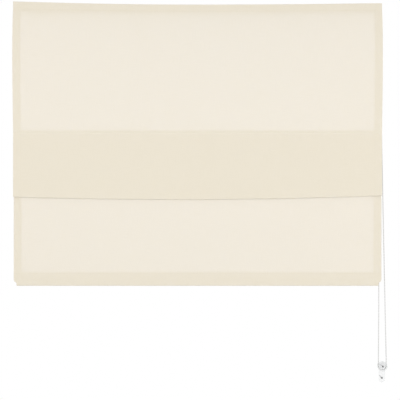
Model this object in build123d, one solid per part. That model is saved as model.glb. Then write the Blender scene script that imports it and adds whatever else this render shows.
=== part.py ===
from build123d import *
import math
import os

# A roman blind with a bead chain drive, half raised. Millimetres, +X to the right, -Y to the room,
# +Z up. The wall is the plane Y = 0 and the origin is the middle of the wall brackets' screw holes.

# Cloth: finished width, drops below its top edge, thickness and hems
blind_width = 1400.0
cloth_top_z = 16.0
upper_rod_drop = 483.0
fold_drop = 735.0
bottom_drop = 1065.0
cloth_t = 0.6
side_hem_width = 30.0
bottom_hem_height = 50.0
bottom_corner_step = 11.0
bottom_corner_height = 19.0
belly_depth = 8.5
belly_drop = 255.0
pleat_depth = 9.0
pleat_gap = 7.0
soft_gap = 0.3

# Headrail
rail_depth = 30.0
rail_height = 30.0
rail_wall = 1.4
rail_lip = 5.0
rail_top_z = 12.0
rail_back_y = -4.0
rail_end_inset = 6.0
rail_corner_r = 0.8

# Touch tapes between the rail and the cloth
tape_height = 20.0
tape_t = 1.4
tape_drop = 3.0
tape_end_inset = 4.0

# Shaft, bearings and cord spools
shaft_flat = 5.0
shaft_drop = 15.4
shaft_setback = 13.5
shaft_clearance = 0.08
journal_r = 4.0
journal_length = 3.0
bearing_clearance = 0.08
spool_count = 4
spool_end_inset = 100.0
spool_length = 30.0
spool_flange_r = 11.2
spool_flange_t = 1.5
drum_r = 8.4
drum_gap = 0.2
cradle_wall = 2.0
cradle_floor = 1.2
cradle_height = 18.0
cradle_side_gap = 0.7
spool_end_play = 0.4

# Lift cords and what they run through
cord_r = 0.7
cord_slot_length = 9.0
cord_slot_width = 5.0
cord_hole_clearance = 0.5
winding_length = 12.0
winding_layers_t = 1.4
ring_height = 2.2
lock_r = 3.0
lock_length = 12.0
knot_r = 1.5
knot_gap = 0.3
cord_tail = 5.0

# Rods, their pockets and the bottom bar
rod_r = 2.0
rod_end_inset = 10.0
pocket_r = 3.2
pocket_wall = 0.6
pocket_end_inset = 12.0
rod_to_rod_gap = 2.6
bar_height = 22.0
bar_t = 4.0
bar_end_inset = 17.0
bar_cap_wall = 1.2
bar_cap_length = 9.0
bar_fit = 0.1
bar_lift = 3.9

# Chain and its wheel
bead_pitch = 6.0
bead_r = 2.25
link_r = 0.9
wheel_pockets = 10
wheel_width = 9.0
wheel_flange_r = 11.0
pocket_clearance = 0.2
link_clearance = 0.5
tooth_drop = 0.75
channel_clearance = 0.4
strand_pitches = 227
holder_pitches = 8

# Chain clutch at the right end of the rail
housing_plug_length = 26.0
housing_web = 2.0
housing_wall_end = 1.7
housing_wheel_gap = 0.8
wheel_side_gap = 1.5
chain_way_gap = 0.6
post_r = 4.0
post_length = 31.0
spring_t = 0.8
spring_length = 8.0
spring_turn_pitch = 0.8
spring_gap = 0.1
core_r = 8.0
core_length = 14.0
core_tongue_gap = 0.3
core_tongue_t = 1.1
core_tongue_angle = 60.0
sleeve_r = 8.0
sleeve_length = 10.0
sleeve_bore_gap = 0.4
plug_bore_gap = 0.8
plug_fit = 0.2

# Left end cap
cap_plate = 3.0
cap_plug_length = 10.0
bush_length = 9.0

# Wall brackets and their levers
bracket_count = 3
bracket_end_inset = 180.0
bracket_width = 26.0
bracket_t = 1.5
bracket_hole_r = 2.25
bracket_hole_spacing = 18.0
bracket_bottom_z = -14.0
bracket_gap = 0.3
bracket_hook_foot = 2.8
bracket_foot_height = 3.0
bracket_bend_r = 1.2
lever_stub_r = 3.0
lever_stub_clearance = 0.06
lever_width = 8.0
lever_reach = 13.5
lever_t = 1.5
cam_width = 9.0
cam_wall_gap = 1.2

# Chain holder on the wall
holder_overhang = 13.0
holder_plate_width = 22.0
holder_length_below = 64.0
holder_disc_r = 18.0
holder_cover_t = 2.0
holder_chain_y = -6.5
holder_bead_gap = 1.25
holder_screw_r = 1.9
holder_screw_head_r = 3.6
holder_screw_head_t = 2.0
holder_screw_length = 25.0
holder_screw_spacing = 47.0
holder_screw_clearance = 0.2
holder_driver_width = 0.9
connector_r = 3.6
connector_bore_gap = 0.35
connector_edge_r = 0.8
connector_length = 13.0
connector_bead = 40

# Heights and depths that follow from the sizes above
half_width = blind_width / 2
spool_spacing = 2 * (half_width - spool_end_inset) / (spool_count - 1)
bracket_spacing = 2 * (half_width - bracket_end_inset) / (bracket_count - 1)
holder_x = half_width + holder_overhang
rail_bottom_z = rail_top_z - rail_height
rail_front_y = rail_back_y - rail_depth
shaft_y = rail_back_y - shaft_setback
shaft_z = rail_top_z - shaft_drop
wrap_r = drum_r + drum_gap + cord_r
cord_y = shaft_y - wrap_r
face_y = rail_front_y - 2 * tape_t - 2 * cloth_t
hem_back_y = face_y + 2 * cloth_t
pocket_y = hem_back_y + soft_gap + pocket_r
ring_r = cord_y - pocket_y - pocket_r - soft_gap / 2
cord_hole_r = cord_r + cord_hole_clearance
upper_rod_z = cloth_top_z - upper_rod_drop
lift_rod_z = upper_rod_z - 2 * pocket_r - rod_to_rod_gap
fold_z = cloth_top_z - fold_drop
bottom_z = cloth_top_z - bottom_drop
turn_r = 2 * cloth_t + soft_gap + 0.1
turn_z = lift_rod_z - pocket_r - soft_gap - 2 * cloth_t
skirt_y = pocket_y + turn_r
bar_front_y = skirt_y + 2 * cloth_t + soft_gap
bar_bottom_z = bottom_z + bar_lift
hem_rear_y = bar_front_y + bar_t + 2 * bar_cap_wall + soft_gap + 2 * cloth_t

# Ends along X
rail_x0 = -half_width + rail_end_inset
housing_x1 = half_width
wheel_x1 = housing_x1 - housing_wall_end - wheel_side_gap / 2
wheel_x0 = wheel_x1 - wheel_width
wheel_x = (wheel_x0 + wheel_x1) / 2
web_x1 = wheel_x0 - wheel_side_gap / 2
web_x0 = web_x1 - housing_web
plug_x0 = web_x0 - housing_plug_length
rail_x1 = web_x0
post_x0 = housing_x1 - housing_wall_end - post_length
core_x1 = post_x0 - spring_gap - bearing_clearance
core_x0 = core_x1 - core_length
shaft_x0 = -half_width + cap_plate + spring_gap
wheel_pitch_r = wheel_pockets * bead_pitch / (2 * math.pi)
holder_loop_r = holder_pitches * bead_pitch / math.pi
holder_z = shaft_z - strand_pitches * bead_pitch
spool_xs = [(i - (spool_count - 1) / 2) * spool_spacing for i in range(spool_count)]
bracket_xs = [(i - (bracket_count - 1) / 2) * bracket_spacing for i in range(bracket_count)]
bracket_names = ["left", "centre", "right"]
cord_bottom_z = lift_rod_z - ring_height / 2 - soft_gap - lock_length - knot_gap

# The chain's route down its front strand and up its back strand, between the wheel and the holder
front_strand = [
    (wheel_x, shaft_y - wheel_pitch_r, shaft_z),
    (wheel_x + 10.6, -21.0, -420.0),
    (wheel_x + 21.0, -14.8, -830.0),
    (wheel_x + 28.0, -10.6, -1090.0),
    (wheel_x + 32.4, -8.0, -1250.0),
    (holder_x + holder_loop_r, holder_chain_y, holder_z),
]
back_strand = [
    (holder_x - holder_loop_r, holder_chain_y, holder_z),
    (wheel_x + 6.6, -6.9, -1080.0),
    (wheel_x + 4.3, -7.4, -620.0),
    (wheel_x, shaft_y + wheel_pitch_r, shaft_z),
]


def block(x0, x1, y0, y1, z0, z1):
    """A box between two opposite corners."""
    centre = Pos((x0 + x1) / 2, (y0 + y1) / 2, (z0 + z1) / 2)
    return centre * Box(x1 - x0, y1 - y0, z1 - z0)


def bar_x(radius, x0, x1, y=shaft_y, z=shaft_z):
    """A round bar along X."""
    return Pos((x0 + x1) / 2, y, z) * Rot(0, 90, 0) * Cylinder(radius, x1 - x0)


def bar_y(radius, y0, y1, x, z):
    """A round bar along Y."""
    return Pos(x, (y0 + y1) / 2, z) * Rot(90, 0, 0) * Cylinder(radius, y1 - y0)


def bar_z(radius, z0, z1, x, y):
    """An upright round bar."""
    return Pos(x, y, (z0 + z1) / 2) * Cylinder(radius, z1 - z0)


def hex_bar(flat, x0, x1):
    """A hexagonal bar along the shaft's line, measured across its flats."""
    hexagon = RegularPolygon(flat / 2, 6, major_radius=False)
    return extrude(Plane.YZ.offset(x0) * Pos(shaft_y, shaft_z) * hexagon, x1 - x0)


def plug_block(x0, x1):
    """The block that fits inside the rail, under its lips."""
    inner_front = rail_front_y + rail_wall + plug_fit
    inner_back = rail_back_y - rail_wall - plug_fit
    inner_bottom = rail_bottom_z + rail_wall + plug_fit
    return block(x0, x1, inner_front, inner_back, inner_bottom, rail_top_z - rail_wall - plug_fit)


def headrail():
    """Aluminium rail, open between two lips on top, with a slot under each cord."""
    rail = block(rail_x0, rail_x1, rail_front_y, rail_back_y, rail_bottom_z, rail_top_z)
    long_edges = rail.edges().filter_by(Axis.X)
    rail = fillet(long_edges, rail_corner_r)
    inside_front = rail_front_y + rail_wall
    inside_back = rail_back_y - rail_wall
    inside_bottom = rail_bottom_z + rail_wall
    rail -= block(rail_x0, rail_x1, inside_front, inside_back, inside_bottom, rail_top_z - rail_wall)
    rail -= block(rail_x0, rail_x1, rail_front_y + rail_lip, rail_back_y - rail_lip, shaft_z, rail_top_z)
    for x in spool_xs:
        rail -= cord_slot(x, rail_bottom_z, rail_bottom_z + rail_wall)
    return rail


def cord_slot(x, z0, z1):
    """The opening that a cord drops through."""
    half_length = cord_slot_length / 2
    half_slot = cord_slot_width / 2
    return block(x - half_length, x + half_length, cord_y - half_slot, cord_y + half_slot, z0, z1)


def end_cap_left():
    """Moulded cap on the left end of the rail, with the shaft's bearing."""
    cap = block(-half_width + cap_plate, rail_x0, rail_front_y, rail_back_y, rail_bottom_z, rail_top_z)
    cap += plug_block(rail_x0, rail_x0 + cap_plug_length)
    plate_edges = cap.edges().filter_by(Axis.X).group_by(Axis.X)[0]
    cap = fillet(plate_edges, rail_corner_r)
    bore_x0 = shaft_x0 - spring_gap / 2
    return cap - bar_x(journal_r + bearing_clearance, bore_x0, rail_x0 + cap_plug_length)


def shaft_bush():
    """Bush on the shaft's left end that turns in the end cap."""
    bush = bar_x(journal_r, shaft_x0, shaft_x0 + bush_length)
    return bush - hex_bar(shaft_flat + 2 * shaft_clearance, shaft_x0, shaft_x0 + bush_length)


def drive_shaft():
    """Hexagonal steel shaft from the left bearing to the clutch."""
    return hex_bar(shaft_flat, shaft_x0, core_x0 + core_length - rail_wall)


def spool(x):
    """Cord spool: a drum between two flanges, with a journal at each end."""
    x0 = x - cord_slot_length / 2
    x1 = x0 + spool_length
    body = bar_x(drum_r, x0, x1)
    body += bar_x(spool_flange_r, x0, x0 + spool_flange_t)
    body += bar_x(spool_flange_r, x1 - spool_flange_t, x1)
    body += bar_x(journal_r, x0 - journal_length, x1 + journal_length)
    return body - hex_bar(shaft_flat + 2 * shaft_clearance, x0 - journal_length, x1 + journal_length)


def spool_cradle(x):
    """Cradle in the rail: a floor and two end walls that carry a spool's journals."""
    inner_x0 = x - cord_slot_length / 2 - spool_end_play
    inner_x1 = x - cord_slot_length / 2 + spool_length + spool_end_play
    front = rail_front_y + rail_wall + cradle_side_gap
    back = rail_back_y - rail_wall - cradle_side_gap
    floor_z = rail_bottom_z + rail_wall
    top_z = floor_z + cradle_height
    cradle = block(inner_x0 - cradle_wall, inner_x1 + cradle_wall, front, back, floor_z, top_z)
    cradle -= block(inner_x0, inner_x1, front, back, floor_z + cradle_floor, top_z)
    cradle -= bar_x(journal_r + bearing_clearance, inner_x0 - cradle_wall, inner_x1 + cradle_wall)
    return cradle - cord_slot(x, floor_z, floor_z + cradle_floor)


def cord_winding(x):
    """The turns of cord that lie on a drum beside the cord that leaves it."""
    x0 = x + cord_r + drum_gap
    winding = bar_x(drum_r + drum_gap + winding_layers_t, x0, x0 + winding_length)
    return winding - bar_x(drum_r + drum_gap, x0, x0 + winding_length)


def lift_cord(x):
    """Lift cord from its drum to the knot under its cord lock, with a short tail."""
    cord = bar_z(cord_r, cord_bottom_z - cord_tail, shaft_z, x, cord_y)
    return cord + Pos(x, cord_y, cord_bottom_z - knot_r) * Sphere(knot_r)


def cord_ring(x, z):
    """Plastic ring sewn behind a rod pocket, which the cord runs through."""
    ring = bar_z(ring_r, z - ring_height / 2, z + ring_height / 2, x, cord_y)
    return ring - bar_z(cord_hole_r, z - ring_height / 2, z + ring_height / 2, x, cord_y)


def cord_lock(x):
    """Barrel under the lift rod's ring that stops the cord's knot."""
    top = lift_rod_z - ring_height / 2 - soft_gap
    lock = bar_z(lock_r, top - lock_length, top, x, cord_y)
    lock = fillet(lock.edges().filter_by(GeomType.CIRCLE), lock_r / 4)
    return lock - bar_z(cord_hole_r, top - lock_length, top, x, cord_y)


def rod(z):
    """Round rod inside a pocket on the back of the cloth."""
    return bar_x(rod_r, -half_width + rod_end_inset, half_width - rod_end_inset, pocket_y, z)


def pocket_tape(z):
    """Sewn sleeve that holds a rod on the back of the cloth."""
    x0 = -half_width + pocket_end_inset
    sleeve = bar_x(pocket_r, x0, -x0, pocket_y, z)
    return sleeve - bar_x(pocket_r - pocket_wall, x0, -x0, pocket_y, z)


def bottom_bar():
    """Flat aluminium bar in the bottom hem."""
    x0 = -half_width + bar_end_inset
    y0 = bar_front_y + bar_cap_wall
    z0 = bar_bottom_z + bar_cap_wall
    bar = block(x0, -x0, y0, y0 + bar_t, z0, z0 + bar_height)
    return fillet(bar.edges().filter_by(Axis.X), bar_t / 4)


def bottom_bar_cap(side):
    """Moulded cap over an end of the bottom bar."""
    end = half_width - bar_end_inset + bar_fit
    y0 = bar_front_y
    y1 = bar_front_y + bar_t + 2 * bar_cap_wall
    z1 = bar_bottom_z + bar_height + 2 * bar_cap_wall
    cap = block(end - bar_cap_length, end + bar_cap_wall, y0, y1, bar_bottom_z, z1)
    cap = fillet(cap.edges().filter_by(Axis.X), bar_cap_wall)
    slot_y0 = bar_front_y + bar_cap_wall - bar_fit
    slot_z0 = bar_bottom_z + bar_cap_wall - bar_fit
    slot_y1 = slot_y0 + bar_t + 2 * bar_fit
    slot_z1 = slot_z0 + bar_height + 2 * bar_fit
    cap -= block(end - bar_cap_length, end, slot_y0, slot_y1, slot_z0, slot_z1)
    return cap if side > 0 else mirror(cap, Plane.YZ)


def cloth_face_line():
    """The cloth's room side in section, from its top edge to the end of the bottom hem."""
    pleat_y = face_y - pleat_depth
    hem_end_y = skirt_y + 2 * 2 * cloth_t + soft_gap
    points = [
        (face_y, cloth_top_z),
        (face_y, cloth_top_z - 2 * tape_height),
        (face_y - belly_depth, cloth_top_z - belly_drop),
        (face_y, upper_rod_z + tape_height),
        (face_y, upper_rod_z - pocket_r),
        (pleat_y, fold_z),
        (pleat_y + pleat_gap, fold_z),
        (pocket_y - turn_r, turn_z),
        (pocket_y + turn_r, turn_z),
        (skirt_y, bottom_z),
        (hem_rear_y, bottom_z),
        (hem_rear_y, bar_bottom_z + bar_height + 2 * bar_cap_wall),
        (hem_end_y, bottom_z + bottom_hem_height),
    ]
    fold_r = pleat_gap * 0.46
    hairpin_r = turn_r * 0.94
    hem_r = (hem_rear_y - skirt_y) * 0.46
    radii = [300, 1500, 300, 200, fold_r, fold_r, hairpin_r, hairpin_r, hem_r, hem_r, 8]
    return Plane.YZ * FilletPolyline(*points, radius=radii)


def cloth_layer(thickness, x0, x1):
    """The cloth's section at one thickness, behind its room side, drawn out along X."""
    outline = cloth_face_line().offset_2d(thickness, side=Side.RIGHT, closed=True)
    return Pos(x0, 0, 0) * extrude(Face(outline), x1 - x0)


def fabric():
    """One piece of cloth: upper panel, pleat, lower panel, side hems and the bar's hem."""
    hem_x = half_width - side_hem_width
    cloth = cloth_layer(cloth_t, -hem_x, hem_x)
    cloth += cloth_layer(2 * cloth_t, -half_width, -hem_x)
    cloth += cloth_layer(2 * cloth_t, hem_x, half_width)
    corner_z = bottom_z + bottom_corner_height
    for side in (-1, 1):
        inner = side * (half_width - bottom_corner_step)
        outer = side * (half_width + soft_gap)
        low_x = min(inner, outer)
        high_x = max(inner, outer)
        cloth -= block(low_x, high_x, face_y, 0, bottom_z - soft_gap, corner_z)
    return cloth


def hook_tape():
    """Hook tape stuck on the front of the rail."""
    z1 = rail_top_z - tape_drop
    x1 = rail_x1 - tape_end_inset
    return block(rail_x0, x1, rail_front_y - tape_t, rail_front_y, z1 - tape_height, z1)


def loop_tape():
    """Loop tape sewn along the top of the cloth."""
    z1 = rail_top_z - tape_drop
    ends = half_width - tape_end_inset
    y1 = rail_front_y - tape_t
    return block(-ends, ends, y1 - tape_t, y1, z1 - tape_height, z1)


def clutch_housing():
    """Moulded housing on the right end of the rail, around the chain wheel and the clutch."""
    cover_x0 = housing_x1 - housing_wall_end
    body = block(web_x0, cover_x0, rail_front_y, rail_back_y, rail_bottom_z, rail_top_z)
    body = fillet(body.edges().filter_by(Axis.X), rail_corner_r)
    chamber_r = wheel_pitch_r + bead_r + housing_wheel_gap
    body -= bar_x(chamber_r, web_x1, cover_x0)
    way = wheel_pitch_r + bead_r + chain_way_gap
    way_half = bead_r + chain_way_gap
    way_x0 = wheel_x - way_half
    body -= block(way_x0, way_x0 + 2 * way_half, shaft_y - way, shaft_y + way, rail_bottom_z, shaft_z)
    body += plug_block(plug_x0, web_x0)
    body -= bar_x(core_r + plug_bore_gap, plug_x0, web_x1)
    return body


def clutch_cover():
    """Outer cover of the clutch, moulded with the fixed post that the chain wheel turns on."""
    cover_x0 = housing_x1 - housing_wall_end
    cover = block(cover_x0, housing_x1, rail_front_y, rail_back_y, rail_bottom_z, rail_top_z)
    cover = fillet(cover.edges().filter_by(Axis.X), rail_corner_r)
    return cover + bar_x(post_r, post_x0, cover_x0)


def chain_wheel():
    """Chain wheel with a pocket for each bead and a sleeve around the wrap spring."""
    wheel = bar_x(wheel_flange_r, wheel_x0, wheel_x1)
    sleeve_x0 = wheel_x0 - sleeve_length
    wheel += bar_x(sleeve_r, sleeve_x0, wheel_x0)
    wheel -= bar_x(sleeve_r - core_tongue_t - sleeve_bore_gap, sleeve_x0, wheel_x0 - housing_web)
    wheel -= bar_x(post_r + bearing_clearance, sleeve_x0, wheel_x1)
    channel_half = bead_r + channel_clearance
    channel = bar_x(wheel_flange_r, wheel_x - channel_half, wheel_x + channel_half)
    wheel -= channel - bar_x(wheel_pitch_r - tooth_drop, wheel_x - channel_half, wheel_x + channel_half)
    groove = Pos(wheel_x, shaft_y, shaft_z) * Rot(0, 90, 0) * Torus(wheel_pitch_r, link_r + link_clearance)
    wheel -= groove
    for i in range(wheel_pockets):
        angle = 2 * math.pi * i / wheel_pockets
        y = shaft_y + wheel_pitch_r * math.cos(angle)
        z = shaft_z + wheel_pitch_r * math.sin(angle)
        wheel -= Pos(wheel_x, y, z) * Sphere(bead_r + pocket_clearance)
    return wheel


def clutch_spring():
    """Close-wound spring on the post, whose turns show as rings."""
    bore = post_r + spring_gap
    x0 = post_x0 + spring_gap
    turns = round(spring_length / spring_turn_pitch)
    spring = bar_x(bore + spring_t, x0, x0 + turns * spring_turn_pitch)
    for i in range(1, turns):
        x = x0 + i * spring_turn_pitch
        groove = bar_x(bore + spring_t, x - spring_gap / 2, x + spring_gap / 2)
        spring -= groove - bar_x(bore + spring_t / 2, x - spring_gap / 2, x + spring_gap / 2)
    return spring - bar_x(bore, x0, x0 + turns * spring_turn_pitch)


def clutch_core():
    """Output core: a socket for the shaft and a tongue that reaches beside the spring."""
    core = bar_x(core_r, core_x0, core_x1)
    core -= hex_bar(shaft_flat + 2 * shaft_clearance, core_x0, core_x1 - rail_wall + shaft_clearance)
    inner = post_r + spring_gap + spring_t + core_tongue_gap
    tongue_x1 = post_x0 + spring_length
    tongue = bar_x(inner + core_tongue_t, core_x1, tongue_x1) - bar_x(inner, core_x1, tongue_x1)
    wedge = Plane.YZ.offset(core_x1) * Pos(shaft_y, shaft_z) * Polygon(
        (0, 0),
        (core_r * math.tan(math.radians(core_tongue_angle / 2)), core_r),
        (-core_r * math.tan(math.radians(core_tongue_angle / 2)), core_r),
        align=None,
    )
    return core + (tongue & extrude(wedge, tongue_x1 - core_x1))


def bracket(x):
    """Steel wall bracket: flange with two screw holes, shelf over the rail and front hook."""
    x0 = x - bracket_width / 2
    x1 = x + bracket_width / 2
    shelf_z = rail_top_z + bracket_gap
    lip_under = rail_top_z - rail_wall - bracket_gap
    hook_back = rail_front_y + rail_lip + bracket_gap + bracket_t
    hook_front = hook_back - bracket_t
    foot_front = hook_front - bracket_hook_foot
    steel = block(x0, x1, -bracket_t, 0, bracket_bottom_z, shelf_z + bracket_t)
    steel += block(x0, x1, hook_front, -bracket_t, shelf_z, shelf_z + bracket_t)
    top_back = steel.edges().filter_by(Axis.X).sort_by(Axis.Y)[-2:].sort_by(Axis.Z)[-1]
    steel = fillet(top_back, bracket_bend_r)
    steel += block(x0, x1, hook_front, hook_back, lip_under - bracket_t, shelf_z)
    steel += block(x0, x1, foot_front, hook_back, lip_under - bracket_t, lip_under)
    foot_y = rail_back_y + bracket_gap
    steel += block(x0, x1, foot_y, -bracket_t, bracket_bottom_z, bracket_bottom_z + bracket_foot_height)
    for z in (-bracket_hole_spacing / 2, bracket_hole_spacing / 2):
        steel -= bar_y(bracket_hole_r, -bracket_t, 0, x, z)
    return steel - bar_z(lever_stub_r + lever_stub_clearance, shelf_z, shelf_z + bracket_t, x, shaft_y)


def bracket_lever(x):
    """Lever on a bracket: a handle on top, a stub through the shelf and a cam under the rail's lip."""
    shelf_z = rail_top_z + bracket_gap
    handle_z0 = shelf_z + bracket_t + bracket_gap
    cam_z1 = rail_top_z - rail_wall - bracket_gap
    cam_z0 = cam_z1 - lever_t
    cam_reach = rail_back_y - rail_wall - cam_wall_gap - shaft_y
    lever = bar_z(lever_stub_r, cam_z0, handle_z0 + lever_t, x, shaft_y)
    cam = block(x - cam_width / 2, x + cam_width / 2, shaft_y, shaft_y + cam_reach, cam_z0, cam_z1)
    lever += cam & bar_z(cam_reach, cam_z0, cam_z1, x, shaft_y)
    lever += bar_z(cam_width / 2, cam_z0, cam_z1, x, shaft_y)
    half_lever = lever_width / 2
    tip_y = shaft_y - lever_reach + half_lever
    lever += block(x - half_lever, x + half_lever, tip_y, shaft_y, handle_z0, handle_z0 + lever_t)
    lever += bar_z(half_lever, handle_z0, handle_z0 + lever_t, x, tip_y)
    return lever + bar_z(half_lever, handle_z0, handle_z0 + lever_t, x, shaft_y)


def strand_point(route, z):
    """The chain's place on a strand at a height."""
    for a, b in zip(route, route[1:]):
        if min(a[2], b[2]) <= z <= max(a[2], b[2]):
            t = (z - a[2]) / (b[2] - a[2])
            return (a[0] + t * (b[0] - a[0]), a[1] + t * (b[1] - a[1]), z)
    return route[-1]


def chain_stations():
    """Each ring of the chain's surface, half a pitch apart: centre, its two section axes and radius."""
    half_pitch = bead_pitch / 2
    stations = []
    for i in range(2 * strand_pitches):
        centre = strand_point(front_strand, shaft_z - i * half_pitch)
        stations.append((centre, (1, 0, 0), (0, -1, 0)))
    for i in range(2 * holder_pitches):
        angle = math.pi * i / (2 * holder_pitches)
        across = (math.cos(angle), 0, -math.sin(angle))
        loop_x = holder_x + holder_loop_r * across[0]
        centre = (loop_x, holder_chain_y, holder_z + holder_loop_r * across[2])
        stations.append((centre, across, (0, -1, 0)))
    for i in range(2 * strand_pitches):
        centre = strand_point(back_strand, holder_z + i * half_pitch)
        stations.append((centre, (-1, 0, 0), (0, -1, 0)))
    for i in range(wheel_pockets):
        angle = math.pi * i / wheel_pockets
        outward = (0, math.cos(angle), math.sin(angle))
        centre = (wheel_x, shaft_y + wheel_pitch_r * outward[1], shaft_z + wheel_pitch_r * outward[2])
        stations.append((centre, (-1, 0, 0), (0, -outward[1], -outward[2])))
    radii = [bead_r if i % 2 == 0 else link_r for i in range(len(stations))]
    return [(*station, radius) for station, radius in zip(stations, radii)]


def ring_corners(centre, across, outward, radius):
    """The six corners of one ring of the chain's surface."""
    corners = []
    for k in range(6):
        c = radius * math.cos(math.pi * k / 3)
        s = radius * math.sin(math.pi * k / 3)
        corners.append(tuple(centre[j] + c * across[j] + s * outward[j] for j in range(3)))
    return corners


def bead_chain():
    """Endless bead chain: each bead is two six-sided cones, joined at the narrow link."""
    rings = [ring_corners(*station) for station in chain_stations()]
    strand_rings = 2 * strand_pitches
    holder_end = strand_rings + 2 * holder_pitches
    wheel_start = holder_end + strand_rings
    faces = []
    for i, ring in enumerate(rings):
        last = i == len(rings) - 1
        following = rings[0][3:] + rings[0][:3] if last else rings[i + 1]
        bends = strand_rings <= i < holder_end or i >= wheel_start
        for k in range(6):
            a, b = ring[k], ring[(k + 1) % 6]
            c, d = following[(k + 1) % 6], following[k]
            if bends:
                faces.append(Face(Wire.make_polygon([a, b, c])))
                faces.append(Face(Wire.make_polygon([a, c, d])))
            else:
                faces.append(Face(Wire.make_polygon([a, b, c, d])))
    return Solid(Shell(faces))


def chain_connector():
    """Barrel that joins the chain's two ends, behind the cloth."""
    z = shaft_z - connector_bead * bead_pitch
    x, y, _ = strand_point(back_strand, z)
    z0 = z - connector_length / 2
    z1 = z + connector_length / 2
    barrel = bar_z(connector_r, z0, z1, x, y)
    barrel = fillet(barrel.edges().filter_by(GeomType.CIRCLE), connector_edge_r)
    return barrel - bar_z(bead_r + connector_bore_gap, z0, z1, x, y)


def holder_gap_y():
    """The faces of the base and the cover on both sides of the chain."""
    half_gap = bead_r + holder_bead_gap
    return holder_chain_y + half_gap, holder_chain_y - half_gap


def holder_screw_z():
    """Heights of the holder's upper and lower screw."""
    return holder_z, holder_z - holder_screw_spacing


def holder_base():
    """Clear base on the wall: a disc behind the chain's loop, its saddle and a long plate below."""
    base_face, cover_face = holder_gap_y()
    upper_z, lower_z = holder_screw_z()
    plate_half = holder_plate_width / 2
    base = bar_y(holder_disc_r, base_face, 0, holder_x, holder_z)
    plate_end_z = holder_z - holder_length_below + plate_half
    base += block(holder_x - plate_half, holder_x + plate_half, base_face, 0, plate_end_z, holder_z)
    base += bar_y(plate_half, base_face, 0, holder_x, plate_end_z)
    saddle_r = holder_loop_r - bead_r - soft_gap
    base += bar_y(saddle_r, cover_face, base_face, holder_x, holder_z)
    for z in (upper_z, lower_z):
        base -= bar_y(holder_screw_r + holder_screw_clearance, cover_face, 0, holder_x, z)
    head_y = base_face + holder_screw_head_t + holder_screw_clearance
    return base - bar_y(holder_screw_head_r + holder_screw_clearance, base_face, head_y, holder_x, lower_z)


def holder_cover():
    """Clear cover over the chain's loop, with a rim that keeps the chain on its saddle."""
    _, cover_face = holder_gap_y()
    upper_z, _ = holder_screw_z()
    front = cover_face - holder_cover_t
    cover = bar_y(holder_disc_r, front, cover_face, holder_x, holder_z)
    head_back = front + holder_screw_head_t / 2
    cover -= bar_y(holder_screw_head_r + holder_screw_clearance, front, head_back, holder_x, upper_z)
    return cover - bar_y(holder_screw_r + holder_screw_clearance, front, cover_face, holder_x, upper_z)


def holder_screw(head_front_y, z):
    """Pan head wall screw with a crossed recess."""
    head_back_y = head_front_y + holder_screw_head_t
    screw = bar_y(holder_screw_head_r, head_front_y, head_back_y, holder_x, z)
    screw = chamfer(screw.faces().sort_by(Axis.Y)[0].edges(), holder_screw_head_t / 3)
    half_slot = holder_driver_width / 2
    arm = holder_screw_head_r / 2
    recess_y = head_front_y + holder_screw_head_t / 2
    screw -= block(holder_x - arm, holder_x + arm, head_front_y, recess_y, z - half_slot, z + half_slot)
    screw -= block(holder_x - half_slot, holder_x + half_slot, head_front_y, recess_y, z - arm, z + arm)
    return screw + bar_y(holder_screw_r, head_back_y, head_back_y + holder_screw_length, holder_x, z)


def holder_screws():
    """The two screws that hold the chain holder on the wall."""
    base_face, cover_face = holder_gap_y()
    upper_z, lower_z = holder_screw_z()
    upper_head = cover_face - holder_cover_t - holder_screw_head_t / 2
    return [holder_screw(upper_head, upper_z), holder_screw(base_face, lower_z)]


def save(name, *solids):
    """Write one sub-part's solids to its STEP file."""
    shape = solids[0] if len(solids) == 1 else Compound(children=list(solids))
    export_step(shape, f"parts/{name}.step")


os.makedirs("parts", exist_ok=True)
save("headrail", headrail())
save("end_cap_left", end_cap_left())
save("shaft_bush", shaft_bush())
save("drive_shaft", drive_shaft())
save("clutch_housing", clutch_housing())
save("clutch_cover", clutch_cover())
save("chain_wheel", chain_wheel())
save("clutch_spring", clutch_spring())
save("clutch_core", clutch_core())
for number, x in enumerate(spool_xs, 1):
    save(f"spool_{number}", spool(x))
    save(f"spool_cradle_{number}", spool_cradle(x))
    save(f"lift_cord_{number}", lift_cord(x))
save("cord_windings", *[cord_winding(x) for x in spool_xs])
save("cord_rings_upper", *[cord_ring(x, upper_rod_z) for x in spool_xs])
save("cord_rings_lift", *[cord_ring(x, lift_rod_z) for x in spool_xs])
save("cord_locks", *[cord_lock(x) for x in spool_xs])
for name, x in zip(bracket_names, bracket_xs):
    save(f"bracket_{name}", bracket(x))
    save(f"bracket_lever_{name}", bracket_lever(x))
save("hook_tape", hook_tape())
save("loop_tape", loop_tape())
save("fabric", fabric())
save("rod_upper", rod(upper_rod_z))
save("rod_lift", rod(lift_rod_z))
save("pocket_tape_upper", pocket_tape(upper_rod_z))
save("pocket_tape_lift", pocket_tape(lift_rod_z))
save("bottom_bar", bottom_bar())
save("bottom_bar_cap_left", bottom_bar_cap(-1))
save("bottom_bar_cap_right", bottom_bar_cap(1))
save("bead_chain", bead_chain())
save("chain_connector", chain_connector())
save("holder_base", holder_base())
save("holder_cover", holder_cover())
save("holder_screws", *holder_screws())
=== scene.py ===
import math

import bmesh
import bpy
from mathutils import Matrix, Vector, noise


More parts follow.
